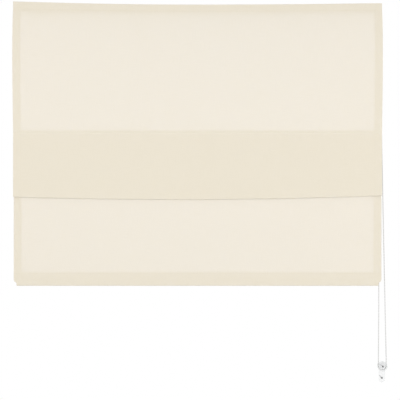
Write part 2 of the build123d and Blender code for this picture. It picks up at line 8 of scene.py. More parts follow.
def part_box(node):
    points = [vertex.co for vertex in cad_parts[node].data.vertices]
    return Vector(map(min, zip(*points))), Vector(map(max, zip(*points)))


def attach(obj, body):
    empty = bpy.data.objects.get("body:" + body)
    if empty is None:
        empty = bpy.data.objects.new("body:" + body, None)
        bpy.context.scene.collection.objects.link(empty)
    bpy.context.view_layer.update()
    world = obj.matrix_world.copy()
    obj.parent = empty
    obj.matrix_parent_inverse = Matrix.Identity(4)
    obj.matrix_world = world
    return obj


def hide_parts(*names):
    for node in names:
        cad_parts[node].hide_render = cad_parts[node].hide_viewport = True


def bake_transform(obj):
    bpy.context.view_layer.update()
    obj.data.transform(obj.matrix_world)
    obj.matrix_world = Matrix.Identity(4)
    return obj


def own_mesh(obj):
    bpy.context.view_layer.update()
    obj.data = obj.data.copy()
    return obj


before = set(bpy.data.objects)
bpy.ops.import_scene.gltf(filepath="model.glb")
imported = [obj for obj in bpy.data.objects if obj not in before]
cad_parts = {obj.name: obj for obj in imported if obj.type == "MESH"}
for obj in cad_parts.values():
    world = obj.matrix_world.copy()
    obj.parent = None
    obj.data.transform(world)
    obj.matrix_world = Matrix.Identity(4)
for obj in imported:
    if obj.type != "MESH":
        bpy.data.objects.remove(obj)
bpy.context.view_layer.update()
scene = bpy.context.scene

# Camera: it looks straight at the blind from 1.84 m before the brackets' back plates, about level
# with the middle between the rail and the chain's holder.
camera_data = bpy.data.cameras.new("camera")
camera_data.sensor_width = 36.0
camera_data.lens = 42.75
camera = bpy.data.objects.new("camera", camera_data)
camera.location = (0.0092, -1.84, -0.7245)
camera.rotation_euler = (math.radians(90), 0, 0)
scene.collection.objects.link(camera)
scene.camera = camera
scene.view_settings.view_transform = "Standard"


# Bead chain: an endless string of moulded white beads, which hangs over the chain wheel at the
# right end of the rail and runs under the saddle of the holder. It is opened at the wheel's top.
def add_node(tree, kind, inputs=None, **settings):
    """A shader node with its settings, and its inputs linked to sockets or set to values."""
    node = tree.nodes.new(kind)
    for key, value in settings.items():
        setattr(node, key, value)
    for key, value in (inputs or {}).items():
        if isinstance(value, bpy.types.NodeSocket):
            tree.links.new(value, node.inputs[key])
        else:
            node.inputs[key].default_value = value
    return node


def calc(tree, operation, *values, **settings):
    """The outcome of one step of arithmetic in a shader."""
    step = add_node(tree, "ShaderNodeMath", dict(enumerate(values)), operation=operation, **settings)
    return step.outputs[0]


def noise_of(tree, place, **values):
    """The pattern of a noise texture, with its Scale, Detail and Roughness."""
    return add_node(tree, "ShaderNodeTexNoise", {"Vector": place, **values}).outputs["Fac"]


def remap(tree, value, start=0.0, end=1.0, low=0.0, high=1.0):
    """A value that runs from start to end, moved to run from low to high."""
    return add_node(tree, "ShaderNodeMapRange", {0: value, 1: start, 2: end, 3: low, 4: high}).outputs[0]


def new_group(name, inputs, outputs):
    """A shader node group from its named inputs and outputs, with its two end nodes."""
    tree = bpy.data.node_groups.new(name, "ShaderNodeTree")
    for label, kind, value in inputs:
        socket = tree.interface.new_socket(label, in_out="INPUT", socket_type=kind)
        if value is not None:
            socket.default_value = value
    for label, kind in outputs:
        tree.interface.new_socket(label, in_out="OUTPUT", socket_type=kind)
    return tree, tree.nodes.new("NodeGroupInput"), tree.nodes.new("NodeGroupOutput")


def new_material(name):
    """A material with its node tree and its shader."""
    material = bpy.data.materials.new(name)
    material.use_nodes = True
    return material, material.node_tree, material.node_tree.nodes["Principled BSDF"]


def set_colour(tree, shader, mask, low, high):
    """Base Color that goes from one colour to another where a mask goes from 0 to 1."""
    tint = add_node(tree, "ShaderNodeMix", {"Factor": mask, 6: (*low, 1), 7: (*high, 1)}, data_type="RGBA")
    tree.links.new(tint.outputs[2], shader.inputs["Base Color"])


def set_relief(tree, shader, height, strength, distance):
    """Fine relief in a material's Normal, from a height."""
    relief = add_node(tree, "ShaderNodeBump", {"Height": height, "Strength": strength, "Distance": distance})
    tree.links.new(relief.outputs["Normal"], shader.inputs["Normal"])
    return relief.outputs["Normal"]


def set_values(shader, **values):
    """Constant inputs of a shader, named with _ for each space."""
    for label, value in values.items():
        shader.inputs[label.replace("_", " ")].default_value = value


def grain_group():
    """Fine moulding grain, wide tone drift and small scuffs, all on Object coordinates."""
    tree, given, result = new_group(
        "surface_grain",
        [
            ("Vector", "NodeSocketVector", None),
            ("Size", "NodeSocketFloat", 0.0008),
            ("Scuffs", "NodeSocketFloat", 0.3),
        ],
        [("Height", "NodeSocketFloat"), ("Tone", "NodeSocketFloat"), ("Scuff", "NodeSocketFloat")],
    )
    place = given.outputs["Vector"]
    rate = calc(tree, "DIVIDE", 1.0, given.outputs["Size"])
    fine = noise_of(tree, place, Scale=rate, Detail=3.0)
    drift = noise_of(tree, place, Scale=9.0, Detail=4.0)
    spots = noise_of(tree, place, Scale=60.0, Detail=6.0, Roughness=0.7)
    scuff = calc(tree, "MULTIPLY", remap(tree, spots, start=0.58, end=0.72), given.outputs["Scuffs"])
    tree.links.new(fine, result.inputs["Height"])
    tree.links.new(drift, result.inputs["Tone"])
    tree.links.new(scuff, result.inputs["Scuff"])
    return tree


surface_grain = grain_group()


def grained_material(name, colour, shade, roughness, size, bump, scuffs=0.3, **constants):
    """A moulded or coated finish: colour drifts towards shade, roughness rises at the scuffs."""
    material, tree, shader = new_material(name)
    place = add_node(tree, "ShaderNodeTexCoord").outputs["Object"]
    grain = add_node(
        tree, "ShaderNodeGroup", {"Vector": place, "Size": size, "Scuffs": scuffs}, node_tree=surface_grain
    )
    set_colour(tree, shader, grain.outputs["Tone"], colour, shade)
    rough = remap(tree, grain.outputs["Scuff"], low=roughness, high=min(1.0, roughness + 0.35))
    tree.links.new(rough, shader.inputs["Roughness"])
    set_relief(tree, shader, grain.outputs["Height"], bump, 0.0002)
    set_values(shader, **constants)
    return material


def spline_curve(name, points, material):
    """One open quadratic NURBS line through the air, from its control points in metres."""
    curve = bpy.data.curves.new(name, "CURVE")
    curve.dimensions = "3D"
    curve.resolution_u = 12
    spline = curve.splines.new("NURBS")
    spline.points.add(len(points) - 1)
    for point, place in zip(spline.points, points):
        point.co = (*place, 1.0)
    spline.order_u = 3
    spline.use_endpoint_u = True
    curve.materials.append(material)
    line = bpy.data.objects.new(name, curve)
    scene.collection.objects.link(line)
    return line


def line_of(curve_object):
    """The points of a curve that has no bevel yet."""
    mesh = bpy.data.meshes.new_from_object(curve_object)
    return [vertex.co.copy() for vertex in mesh.vertices]


def mesh_from(name, bm):
    """A mesh from a bmesh, which is used up."""
    mesh = bpy.data.meshes.new(name)
    bm.to_mesh(mesh)
    bm.free()
    return mesh


def shown_object(name, mesh, material):
    """A piece of the scene, with its one material."""
    mesh.materials.clear()
    mesh.materials.append(material)
    piece = bpy.data.objects.new(name, mesh)
    scene.collection.objects.link(piece)
    return piece


def finished(name, bm, material, smooth=True):
    """A finished piece from a bmesh, its place in its mesh."""
    mesh = mesh_from(name, bm)
    for face in mesh.polygons:
        face.use_smooth = smooth
    return shown_object(name, mesh, material)


def add_copy(bm, mesh, centre, way):
    """Adds a copy of a small mesh at a place, its Z turned along a direction."""
    turn = way.to_track_quat("Z", "Y").to_matrix().to_4x4()
    copy = mesh.copy()
    copy.transform(Matrix.Translation(centre) @ turn)
    bm.from_mesh(copy)
    bpy.data.meshes.remove(copy)


bead_white = grained_material(
    "bead_plastic", (0.66, 0.66, 0.65), (0.58, 0.58, 0.57), 0.32, 0.0006, 0.08, Specular_IOR_Level=0.5
)
string_white = grained_material("chain_string", (0.7, 0.7, 0.68), (0.6, 0.6, 0.58), 0.75, 0.0003, 0.4)
chain_route = [
    (0.69305, -0.0175, 0.006149),
    (0.69305, -0.021456, 0.006149),
    (0.69305, -0.027049, 0.000556),
    (0.69305, -0.027049, -0.007356),
    (0.70365, -0.0210, -0.4200),
    (0.71405, -0.0148, -0.8300),
    (0.72105, -0.0106, -1.0900),
    (0.72545, -0.0080, -1.2500),
    (0.728279, -0.0065, -1.359071),
    (0.728279, -0.0065, -1.371729),
    (0.719329, -0.0065, -1.380679),
    (0.706671, -0.0065, -1.380679),
    (0.697721, -0.0065, -1.371729),
    (0.697721, -0.0065, -1.359071),
    (0.69965, -0.0069, -1.0800),
    (0.69735, -0.0074, -0.6200),
    (0.69305, -0.007951, -0.007356),
    (0.69305, -0.007951, 0.000556),
    (0.69305, -0.013544, 0.006149),
    (0.69305, -0.0175, 0.006149),
]
string_radius = 0.00075
chain_string = spline_curve("chain_string", chain_route, string_white)
chain_line = line_of(chain_string)
chain_string.data.bevel_depth = string_radius
chain_string.data.bevel_resolution = 2

bead_count = 467
bead_radius = 0.00225
bead_stretch = 1.06
chain_length = sum((b - a).length for a, b in zip(chain_line, chain_line[1:]))
bead_pitch = chain_length / bead_count
bm = bmesh.new()
bmesh.ops.create_uvsphere(
    bm, u_segments=8, v_segments=6, radius=bead_radius, matrix=Matrix.Diagonal((1, 1, bead_stretch, 1))
)
one_bead = mesh_from("one_bead", bm)
beads = bmesh.new()
passed = 0.0
next_bead = bead_pitch / 2
for a, b in zip(chain_line, chain_line[1:]):
    run = (b - a).length
    while run and next_bead <= passed + run:
        add_copy(beads, one_bead, a.lerp(b, (next_bead - passed) / run), b - a)
        next_bead += bead_pitch
    passed += run
chain_beads = finished("chain_beads", beads, bead_white)
for piece in (chain_string, chain_beads):
    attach(piece, "root")
    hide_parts("bead_chain")


# Lift cords: four braided white polyester cords. Each comes off its spool, runs straight down
# through the rings on both rods and ends in a knot under its cord lock, with a short tail.
def braid_group():
    """Crossing strands of a round braid on Object coordinates, which runs down along Z."""
    tree, given, result = new_group(
        "braid",
        [("Vector", "NodeSocketVector", None), ("Pitch", "NodeSocketFloat", 0.0016)],
        [("Height", "NodeSocketFloat"), ("Shade", "NodeSocketFloat")],
    )
    parts = add_node(tree, "ShaderNodeSeparateXYZ", {0: given.outputs["Vector"]})
    rate = calc(tree, "DIVIDE", 2 * math.pi, given.outputs["Pitch"])
    waves = []
    for lean in (1.6, -1.6):
        slant = calc(tree, "MULTIPLY_ADD", parts.outputs["X"], lean, parts.outputs["Z"])
        waves.append(calc(tree, "SINE", calc(tree, "MULTIPLY", slant, rate)))
    strands = calc(tree, "MAXIMUM", *waves)
    fuzz = noise_of(tree, given.outputs["Vector"], Scale=2500.0, Detail=2.0)
    tree.links.new(calc(tree, "MULTIPLY_ADD", fuzz, 0.5, strands), result.inputs["Height"])
    tree.links.new(remap(tree, strands, start=-1.0, end=1.0), result.inputs["Shade"])
    return tree


cord_white, tree, shader = new_material("cord_braid")
place = add_node(tree, "ShaderNodeTexCoord").outputs["Object"]
braid = add_node(tree, "ShaderNodeGroup", {"Vector": place}, node_tree=braid_group())
set_colour(tree, shader, braid.outputs["Shade"], (0.55, 0.55, 0.52), (0.8, 0.8, 0.77))
set_relief(tree, shader, braid.outputs["Height"], 0.6, 0.0001)
set_values(shader, Roughness=0.7, Sheen_Weight=0.2)

cord_xs = [-0.6, -0.2, 0.2, 0.6]
cord_y = -0.0268
cord_radius = 0.0007
shaft_z = -0.0034
upper_rod_z = -0.467
lift_rod_z = -0.476
knot_z = -0.4912
knot_radius = 0.0015
knot_flatness = 0.62
tail_z = -0.4947
tail_flare = 1.25
for number, x in enumerate(cord_xs, 1):
    drop = [(x, cord_y, shaft_z), (x, cord_y, -0.2), (x, cord_y, upper_rod_z)]
    line = spline_curve("cord_line", drop, cord_white)
    drop_line = line_of(line)
    line.data.bevel_depth = cord_radius
    line.data.bevel_resolution = 3
    line.data.use_fill_caps = True
    cord = shown_object(f"lift_cord_{number}_drop", bpy.data.meshes.new_from_object(line), cord_white)
    bpy.data.objects.remove(line)

    bm = bmesh.new()
    run = upper_rod_z - knot_z
    place = Matrix.Translation((x, cord_y, upper_rod_z - run / 2))
    bmesh.ops.create_cone(
        bm, cap_ends=True, segments=12, radius1=cord_radius, radius2=cord_radius, depth=run, matrix=place
    )
    side_edges = [edge for edge in bm.edges if abs(edge.verts[0].co.z - edge.verts[1].co.z) > 0.01]
    bmesh.ops.subdivide_edges(bm, edges=side_edges, cuts=12)
    place = Matrix.Translation((x, cord_y, knot_z))
    for lean in (35, -35, 90):
        turn = Matrix.Rotation(math.radians(lean), 4, "X") @ Matrix.Diagonal((1, 1, knot_flatness, 1))
        bmesh.ops.create_uvsphere(bm, u_segments=12, v_segments=8, radius=knot_radius, matrix=place @ turn)
    place = Matrix.Translation((x, cord_y, (knot_z + tail_z) / 2)) @ Matrix.Rotation(math.pi, 4, "X")
    bmesh.ops.create_cone(
        bm, cap_ends=True, segments=12, radius1=cord_radius, radius2=cord_radius * tail_flare,
        depth=knot_z - tail_z, matrix=place,
    )
    knot = finished(f"lift_cord_{number}_knot", bm, cord_white)
    for piece in (cord, knot):
        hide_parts(f"lift_cord_{number}")
    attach(cord, "root")
    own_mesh(cord)
    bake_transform(knot)

# Turns of cord on the spools: the wound end of each lift cord, in one layer of turns that lie
# side by side on its drum, next to the cord that leaves it. They turn with the spools.
wound_turns = 8
steps_per_turn = 20
wound_pitch = 0.00145
shaft_y = -0.0175
bm = bmesh.new()
for x in cord_xs:
    start = bmesh.ops.create_circle(
        bm, cap_ends=True, segments=8, radius=cord_radius, matrix=Matrix.Translation((x, cord_y, shaft_z))
    )
    edges = list({edge for vertex in start["verts"] for edge in vertex.link_edges})
    faces = list({face for vertex in start["verts"] for face in vertex.link_faces})
    bmesh.ops.spin(
        bm, geom=start["verts"] + edges + faces, cent=(x, shaft_y, shaft_z), axis=(1, 0, 0),
        dvec=(wound_pitch / steps_per_turn, 0, 0), angle=-2 * math.pi * wound_turns,
        steps=wound_turns * steps_per_turn,
    )
bmesh.ops.recalc_face_normals(bm, faces=bm.faces)
windings = finished("cord_turns_on_spools", bm, cord_white)
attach(windings, "drive")
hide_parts("cord_windings")


# Cloth: one piece of semi-sheer cream polyester in a linen-like plain weave. Its side hems are
# turned back 30 mm, its top edge is turned over the loop tape, and its pleat hangs between the rods.
def weave_group():
    """Plain weave with slubs, on a UV map in metres."""
    tree, given, result = new_group(
        "plain_weave",
        [
            ("Vector", "NodeSocketVector", None),
            ("Threads per metre", "NodeSocketFloat", 2200.0),
            ("Slubs", "NodeSocketFloat", 0.5),
        ],
        [("Height", "NodeSocketFloat"), ("Slub", "NodeSocketFloat")],
    )
    in_threads = {0: given.outputs["Vector"], "Scale": given.outputs["Threads per metre"]}
    place = add_node(tree, "ShaderNodeVectorMath", in_threads, operation="SCALE").outputs[0]
    parts = add_node(tree, "ShaderNodeSeparateXYZ", {0: place})
    rounds, floors, slubs = [], [], []
    for axis, squeeze in (("X", (0.9, 0.012, 1.0)), ("Y", (0.012, 0.9, 1.0))):
        wave = calc(tree, "SINE", calc(tree, "MULTIPLY", parts.outputs[axis], math.pi))
        rounds.append(calc(tree, "ABSOLUTE", wave))
        floors.append(calc(tree, "FLOOR", parts.outputs[axis]))
        along = add_node(tree, "ShaderNodeMapping", {"Vector": place, "Scale": squeeze})
        slubs.append(noise_of(tree, along.outputs[0], Scale=0.8, Detail=3.0))
    over = calc(tree, "FLOORED_MODULO", calc(tree, "ADD", *floors), 2.0)
    thread = add_node(tree, "ShaderNodeMix", {0: over, 2: rounds[0], 3: rounds[1]}, data_type="FLOAT")
    slub = calc(tree, "MULTIPLY", calc(tree, "ADD", *slubs), 0.5)
    height = calc(tree, "MULTIPLY_ADD", slub, given.outputs["Slubs"], thread.outputs[0])
    tree.links.new(height, result.inputs["Height"])
    tree.links.new(slub, result.inputs["Slub"])
    return tree


plain_weave = weave_group()


def woven_material(name, dark, light, threads, bump, through=None, through_share=0.0):
    """Woven cloth. The light that comes through it is a share of a translucent shader."""
    material, tree, shader = new_material(name)
    place = add_node(tree, "ShaderNodeTexCoord").outputs["UV"]
    weave = add_node(
        tree, "ShaderNodeGroup", {"Vector": place, "Threads per metre": threads}, node_tree=plain_weave
    )
    set_colour(tree, shader, remap(tree, weave.outputs["Slub"], start=0.35, end=0.65), dark, light)
    normal = set_relief(tree, shader, weave.outputs["Height"], bump, 0.0002)
    set_values(shader, Roughness=0.8, Sheen_Weight=0.15, Sheen_Roughness=0.6, Specular_IOR_Level=0.2)
    if through:
        glow = add_node(tree, "ShaderNodeBsdfTranslucent", {"Color": (*through, 1), "Normal": normal})
        mixed = add_node(
            tree, "ShaderNodeMixShader", {0: through_share, 1: shader.outputs[0], 2: glow.outputs[0]}
        )
        tree.links.new(mixed.outputs[0], tree.nodes["Material Output"].inputs["Surface"])
    return material


cream_cloth = woven_material(
    "cream_cloth", (0.865, 0.79, 0.63), (0.905, 0.83, 0.675), 2200.0, 0.3,
    through=(0.67, 0.75, 1.0), through_share=0.22,
)

half_width = 0.7
cloth_thickness = 0.0005
hem_width = 0.03
layer_gap = 0.00065
turn_radius = layer_gap / 2
hem_steps = 3
edge_steps = 4
across_steps = 116


def across_profile():
    """Places across the cloth: x, how far behind the face, and the flat cloth's own width so far."""
    hem = [half_width - hem_width + hem_width * i / hem_steps for i in range(hem_steps)]
    hem.append(half_width - turn_radius)
    left = [(-x, layer_gap) for x in hem]
    for i in range(1, edge_steps):
        angle = math.pi * i / edge_steps
        x = half_width - turn_radius * (1 - math.sin(angle))
        left.append((-x, turn_radius * (1 + math.cos(angle))))
    flat = half_width - turn_radius
    middle = [(-flat + 2 * flat * i / across_steps, 0.0) for i in range(across_steps + 1)]
    right = [(-x, behind) for x, behind in reversed(left)]
    places = left + middle + right
    used, profile = 0.0, []
    for i, (x, behind) in enumerate(places):
        if i:
            used += math.dist(places[i - 1], (x, behind))
        profile.append((x, behind, used))
    return profile


cloth_columns = across_profile()


def down_rows(points, start=0.0):
    """Rows down the cloth from a line of (y, z): each has its place, the direction of the cloth's
    reverse side there, and the length of cloth from the top edge so far."""
    rows, path = [], start
    for i, (y, z) in enumerate(points):
        before = points[max(i - 1, 0)]
        after = points[min(i + 1, len(points) - 1)]
        ahead = Vector((after[0] - before[0], after[1] - before[1])).normalized()
        if i:
            path += math.dist(points[i - 1], (y, z))
        rows.append((y, z, -ahead.y, ahead.x, path))
    return rows


left_corner_lift = 0.0125
right_corner_lift = 0.0055
lifted_height = 0.4
lift_start_z = -0.384


def top_lift(x, z):
    """The cloth's top corners stand a little above the rail, the left one more."""
    near_top = max(0.0, (z - lift_start_z) / lifted_height)
    corner_lift = left_corner_lift if x < 0 else right_corner_lift
    return corner_lift * (x / half_width) ** 2 * near_top**2


def ripple(x, z, depth):
    """Soft unevenness of hanging cloth, some upright and some in the body of the cloth."""
    upright = noise.noise(Vector((x * 5.5, z * 0.9, 3.1)))
    broad = noise.noise(Vector((x * 2.2, z * 3.0, 7.7)))
    return depth * (0.6 * upright + 0.4 * broad)


bow_middle = 0.0046
bow_slope = 0.0025
bow_curve = 0.0117


def fold_bow(x):
    """How far the fold hangs below a level line: most near the middle, and least at the right end,
    where it is above the line."""
    u = x / half_width
    return bow_middle - bow_slope * u - bow_curve * u * u


def hung_place(x, row, behind, depth_at, bow_at):
    """Where a place of the cloth hangs, with its unevenness, the fold's bow and the top's lift."""
    y, z, back_y, back_z, path = row
    wave = behind + ripple(x, z, depth_at(path))
    bow = fold_bow(x) * bow_at(path) if bow_at else 0.0
    return Vector((x, y + back_y * wave, z + back_z * wave + top_lift(x, z) - bow))


def lay_uv(bm, flat):
    """A UV map in metres, from the place on the flat cloth that each vertex has."""
    uv_map = bm.loops.layers.uv.new("UVMap")
    for face in bm.faces:
        for loop in face.loops:
            loop[uv_map].uv = flat[loop.vert.index]


def thicken(piece, thickness):
    """Gives a sheet its thickness, half to each side."""
    layer = piece.modifiers.new("thickness", "SOLIDIFY")
    layer.thickness = thickness
    layer.offset = 0.0


def cloth_sheet(name, rows, depth_at, inset_at=None, bow_at=None):
    """A run of the cloth over its whole width: a grid laid along its rows, hems turned back."""
    bm = bmesh.new()
    across, down = len(cloth_columns) - 1, len(rows) - 1
    bmesh.ops.create_grid(bm, x_segments=across, y_segments=down, size=0.5)
    flat = {}
    for vertex in bm.verts:
        x, behind, used = cloth_columns[round((vertex.co.x + 0.5) * across)]
        row = rows[round((0.5 - vertex.co.y) * down)]
        path = row[4]
        flat[vertex.index] = (used, path)
        if inset_at:
            x -= math.copysign(inset_at(path) * max(0.0, (abs(x) / half_width - 0.9) * 10), x)
        vertex.co = hung_place(x, row, behind, depth_at, bow_at)
    lay_uv(bm, flat)
    sheet = finished(name, bm, cream_cloth)
    thicken(sheet, cloth_thickness)
    even = sheet.modifiers.new("flat_face_normals", "WEIGHTED_NORMAL")
    even.weight = 100
    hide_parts("fabric")
    return sheet


def hump(path, start, end):
    """0 at both ends of a run, 1 in its middle."""
    t = min(1.0, max(0.0, (path - start) / (end - start)))
    return math.sin(math.pi * t) ** 0.7


# Upper panel: the cloth from its top edge in front of the rail down to the upper rod. Its loop
# tape holds it at the rail, and it bellies out a little under its own weight.
rail_face_y = -0.0377
top_z = 0.0167
rod_line_z = -0.4702
belly = 0.008
belly_top_z = -0.011
belly_height = 0.456


def panel_y(z):
    """The panel's face, which bellies out most in its upper half."""
    t = min(1.0, max(0.0, (belly_top_z - z) / belly_height))
    return rail_face_y - belly * math.sin(math.pi * t**0.66)


panel_steps = 76
panel_line = []
for i in range(panel_steps + 1):
    z = top_z + (rod_line_z - top_z) * i / panel_steps
    panel_line.append((panel_y(z), z))
panel_rows = down_rows(panel_line)
panel_end = panel_rows[-1][4]


def panel_depth(path):
    """How uneven the panel is: its top 40 mm, on the tape, is flat."""
    return 0.0009 * hump(path, 0.04, panel_end)


upper_panel = cloth_sheet("upper_panel", panel_rows, panel_depth)
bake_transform(upper_panel)


# Pleat: the cloth below the upper rod hangs down in a soft fold and comes up again behind itself
# to the lift rod. Its fold isn't pressed, so it is round and a little bowed.
def eased(t):
    """From 0 to 1, level at both ends."""
    return t * t * (3 - 2 * t)


def turn_line(y, z, radius, first, last, steps):
    """Points (y, z) round a centre, from one angle in degrees to another: 0 is +Y and 90 is +Z."""
    angles = [math.radians(first + (last - first) * i / steps) for i in range(steps + 1)]
    return [(y + radius * math.cos(angle), z + radius * math.sin(angle)) for angle in angles]


fold_y = -0.0362
fold_z = -0.7155
fold_radius = 0.0018
fold_steps = 6
front_steps = 38
front_reach = fold_y - fold_radius - rail_face_y
front_line = []
for i in range(front_steps + 1):
    t = i / front_steps
    y = rail_face_y + front_reach * (0.35 * t + 0.65 * eased(t))
    front_line.append((y, rod_line_z + (fold_z - rod_line_z) * t))
front_line += turn_line(fold_y, fold_z, fold_radius, 180, 270, fold_steps)[1:]
front_rows = down_rows(front_line, panel_end)
front_end = front_rows[-1][4]


def front_depth(path):
    return 0.0008 * hump(path, panel_end, front_end)


def front_bow(path):
    """The fold's bow grows from nothing at the rod to the whole at the fold."""
    return (path - panel_end) / (front_end - panel_end)


pleat_front = cloth_sheet("pleat_front", front_rows, front_depth, bow_at=front_bow)
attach(pleat_front, "upper_rod")

hairpin_y = -0.0333
hairpin_z = -0.4823
hairpin_radius = 0.0019
back_steps = 34
back_start_y = fold_y + fold_radius
back_reach = hairpin_y - hairpin_radius - back_start_y
back_line = turn_line(fold_y, fold_z, fold_radius, 270, 360, fold_steps)
for i in range(1, back_steps + 1):
    t = i / back_steps
    back_line.append((back_start_y + back_reach * eased(t), fold_z + (hairpin_z - fold_z) * t))
back_line += turn_line(hairpin_y, hairpin_z, hairpin_radius, 180, 90, fold_steps)[1:]
back_rows = down_rows(back_line, front_end)
back_end = back_rows[-1][4]


def back_depth(path):
    return 0.0005 * hump(path, front_end, back_end)


def back_bow(path):
    """The fold's bow goes back to nothing at the lift rod."""
    return (back_end - path) / (back_end - front_end)


pleat_back = cloth_sheet("pleat_back", back_rows, back_depth, bow_at=back_bow)
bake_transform(pleat_back)

# Lower panel: the cloth from the lift rod down to the bottom hem, which is turned up behind, round
# the bar, with its raw edge tucked in at the top.
bottom_z = -1.052
bottom_gap = 0.0003
hem_front_y = hairpin_y + hairpin_radius
hem_rear_y = -0.0226
hem_centre_y = (hem_front_y + hem_rear_y) / 2
hem_turn_radius = (hem_rear_y - hem_front_y) / 2
hem_turn_steps = 10
hem_up_z = -1.0195
hem_up_steps = 5
hem_end_z = -0.999
hem_close_steps = 8
skirt_steps = 84
skirt_low_z = bottom_z + bottom_gap + hem_turn_radius
skirt_line = turn_line(hairpin_y, hairpin_z, hairpin_radius, 90, 0, fold_steps)
for i in range(1, skirt_steps + 1):
    skirt_line.append((hem_front_y, hairpin_z + (skirt_low_z - hairpin_z) * i / skirt_steps))
skirt_line += turn_line(hem_centre_y, skirt_low_z, hem_turn_radius, 180, 360, hem_turn_steps)[1:]
for i in range(1, hem_up_steps + 1):
    skirt_line.append((hem_rear_y, skirt_low_z + (hem_up_z - skirt_low_z) * i / hem_up_steps))
hem_close_reach = hem_front_y + 2 * layer_gap - hem_rear_y
for i in range(1, hem_close_steps + 1):
    t = i / hem_close_steps
    skirt_line.append((hem_rear_y + hem_close_reach * eased(t), hem_up_z + (hem_end_z - hem_up_z) * t))
skirt_rows = down_rows(skirt_line, back_end)
bottom_path = next(row[4] for row in skirt_rows if row[1] < skirt_low_z)
corner_draw = 0.0105
corner_reach = 0.023
corner_ease = 0.009


def corner_inset(path):
    """The lowest 2 cm of the cloth is drawn in at both sides, where the hem turns over the bar's ends."""
    t = min(1.0, max(0.0, (corner_reach - abs(path - bottom_path - 0.006)) / corner_ease))
    return corner_draw * eased(t)


def skirt_depth(path):
    """How uneven the panel is: at the rod and over the bar it is straight."""
    return 0.0012 * hump(path, back_end + 0.004, bottom_path - 0.05)


skirt = cloth_sheet("lower_panel", skirt_rows, skirt_depth, corner_inset)
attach(skirt, "lift_rod")

# Top hem: the cloth's own edge, turned over the loop tape between the two side hems and sewn down
# with it, so that no raw edge shows.
strip_half = half_width - hem_width - 0.002
strip_thickness = 0.00045
top_hem_depth = 0.0285
top_hem_steps = 6
top_hem_columns = 100
hem_back_y = rail_face_y + 0.0006
hem_line = [
    (rail_face_y + 0.0002, top_z - 0.0012),
    (rail_face_y + 0.0001, top_z),
    (rail_face_y + 0.0003, top_z + 0.00025),
    (hem_back_y, top_z),
]
for i in range(1, top_hem_steps + 1):
    hem_line.append((hem_back_y, top_z - top_hem_depth * i / top_hem_steps))
hem_rows = down_rows(hem_line)
down = len(hem_rows) - 1
bm = bmesh.new()
bmesh.ops.create_grid(bm, x_segments=top_hem_columns, y_segments=down, size=0.5)
flat = {}
for vertex in bm.verts:
    y, z, back_y, back_z, path = hem_rows[round((0.5 - vertex.co.y) * down)]
    x = vertex.co.x * 2 * strip_half
    flat[vertex.index] = (x, path)
    vertex.co = (x, y, z + top_lift(x, z))
lay_uv(bm, flat)
top_hem = finished("top_hem", bm, cream_cloth)
thicken(top_hem, strip_thickness)
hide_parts("fabric")
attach(top_hem, "root")

# Sewing: cream polyester thread in straight rows down both side hems, along the upper rod, along
# the top of the bottom hem on both sides of the cloth, and twice along the loop tape. Each stitch
# is a short thread that lies on the cloth.
thread_cream = grained_material("sewing_thread", (0.78, 0.73, 0.6), (0.68, 0.63, 0.5), 0.75, 0.0002, 0.3)
stitch_pitch = 0.004
stitch_radius = 0.00017
stitch_stretch = 8.6
bm = bmesh.new()
bmesh.ops.create_uvsphere(
    bm, u_segments=6, v_segments=4, radius=stitch_radius, matrix=Matrix.Diagonal((1, 1, stitch_stretch, 1))
)
one_stitch = mesh_from("one_stitch", bm)


def on_cloth(rows, depth_at, bow_at, x, behind, path):
    """A place on a run of the cloth, from how far across and along it is."""
    low = max(1, next((j for j, row in enumerate(rows) if row[4] >= path), len(rows) - 1))
    a, b = rows[low - 1], rows[low]
    t = (path - a[4]) / (b[4] - a[4])
    row = [a[k] + (b[k] - a[k]) * t for k in range(4)]
    return hung_place(x, (*row, path), behind, depth_at, bow_at)


def sew(bm, rows, depth_at, bow_at, start, end, behind):
    """A row of stitches between two places, each (x, path), at a depth behind the cloth's face."""
    count = round(math.dist(start, end) / stitch_pitch)
    for i in range(count):
        ends = []
        for k in (i + 0.1, i + 0.9):
            x, path = (a + (b - a) * k / count for a, b in zip(start, end))
            ends.append(on_cloth(rows, depth_at, bow_at, x, behind, path))
        add_copy(bm, one_stitch, (ends[0] + ends[1]) / 2, ends[1] - ends[0])


def stitches(name, rows, depth_at, lines, bow_at=None):
    """The thread on one run of the cloth, from its rows of stitches."""
    bm = bmesh.new()
    for start, end, behind in lines:
        sew(bm, rows, depth_at, bow_at, start, end, behind)
    thread = finished(name, bm, thread_cream)
    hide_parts("fabric")
    return thread


thread_rise = 0.00005
on_face = -cloth_thickness / 2 - thread_rise
on_hem = layer_gap + cloth_thickness / 2 + thread_rise
hem_seam_x = half_width - hem_width + 0.003


def side_seams(start, end):
    """The rows down both side hems, on the face and on the hem behind it."""
    lines = []
    for side in (-1, 1):
        for behind in (on_face, on_hem):
            lines.append(((side * hem_seam_x, start), (side * hem_seam_x, end), behind))
    return lines


def cross_seam(half_length, path):
    """A row straight across the face."""
    return (-half_length, path), (half_length, path), on_face


